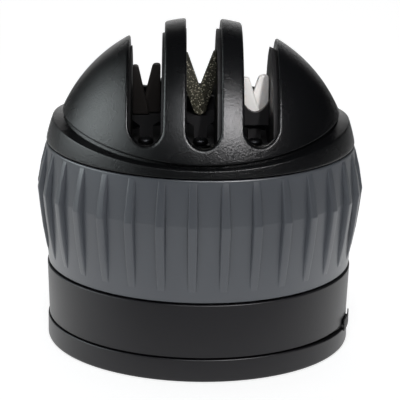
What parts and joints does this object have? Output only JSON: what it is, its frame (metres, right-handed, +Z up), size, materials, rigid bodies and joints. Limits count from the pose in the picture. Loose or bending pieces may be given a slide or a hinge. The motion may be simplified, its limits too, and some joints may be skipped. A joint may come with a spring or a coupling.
{
  "type": "pull-through knife sharpener",
  "caption": "Round countertop knife sharpener: slotted black dome with crossed sharpening tools over a ribbed twist grip ring and a suction foot.",
  "frame": {"origin": "centre of the foot's underside, on the surface it stands on", "axes": "+Z up, -Y towards the front of the picture, slots run front to back along Y"},
  "size_m": [0.0808, 0.0808, 0.0798],
  "materials": {
    "gloss_black": "semi-gloss moulded ABS with a fine spark-eroded grain",
    "satin_black": "satin charcoal ABS",
    "dark_plastic": "dark grey moulded nylon",
    "slate_rubber": "matte slate blue-grey thermoplastic rubber",
    "black_rubber": "soft black rubber",
    "natural_plastic": "natural acetal",
    "steel": "zinc-plated steel",
    "carbide": "dark tungsten carbide",
    "diamond": "diamond-coated steel, olive gold",
    "ceramic": "fine white ceramic"
  },
  "bodies": {
    "root": {"foot_ring": "satin_black", "base_housing": "satin_black", "suction_cup": "black_rubber", "guide_tower": "dark_plastic", "glide_ring": "natural_plastic", "return_spring": "steel", "head_deck": "dark_plastic", "deck_bolt": "steel", "collar_ring": "gloss_black", "dome_cover": "gloss_black", "stage_carrier": "dark_plastic", "coarse_holder": "dark_plastic", "medium_holder": "dark_plastic", "fine_holder": "dark_plastic", "carbide_plate_left": "carbide", "carbide_plate_right": "carbide", "diamond_arm_left": "diamond", "diamond_arm_right": "diamond", "ceramic_bar_left": "ceramic", "ceramic_bar_right": "ceramic", "foot_screw_1": "steel", "head_screw_1": "steel", "foot_screw_2": "steel", "head_screw_2": "steel", "foot_screw_3": "steel", "head_screw_3": "steel", "foot_screw_4": "steel", "head_screw_4": "steel", "tower_screw_1": "steel", "tower_screw_2": "steel", "tower_screw_3": "steel", "carrier_screw_1": "steel", "carrier_screw_2": "steel", "coarse_screw": "steel", "coarse_washer": "steel", "medium_screw": "steel", "medium_washer": "steel", "fine_screw": "steel", "fine_washer": "steel"},
    "grip": {"grip_sleeve": "slate_rubber", "grip_core": "dark_plastic", "cam_ring": "natural_plastic", "cam_screw_1": "steel", "cam_screw_2": "steel", "cam_screw_3": "steel"},
    "stud": {"pull_stud": "natural_plastic", "cam_pin": "steel"}
  },
  "joints": [
    {"name": "grip_twist", "type": "hinge", "parent": "root", "child": "grip", "pos_m": [0, 0, 0.035], "axis": [0, 0, -1], "range_deg": [0, 90]},
    {"name": "stud_lift", "type": "slide", "parent": "root", "child": "stud", "axis": [0, 0, 1], "range_m": [0, 0.0026], "deforming": ["return_spring", "suction_cup"]}
  ],
  "couplings": [
    {"joint": "stud_lift", "follows": "grip_twist", "m_per_rad": 0.00159}
  ]
}
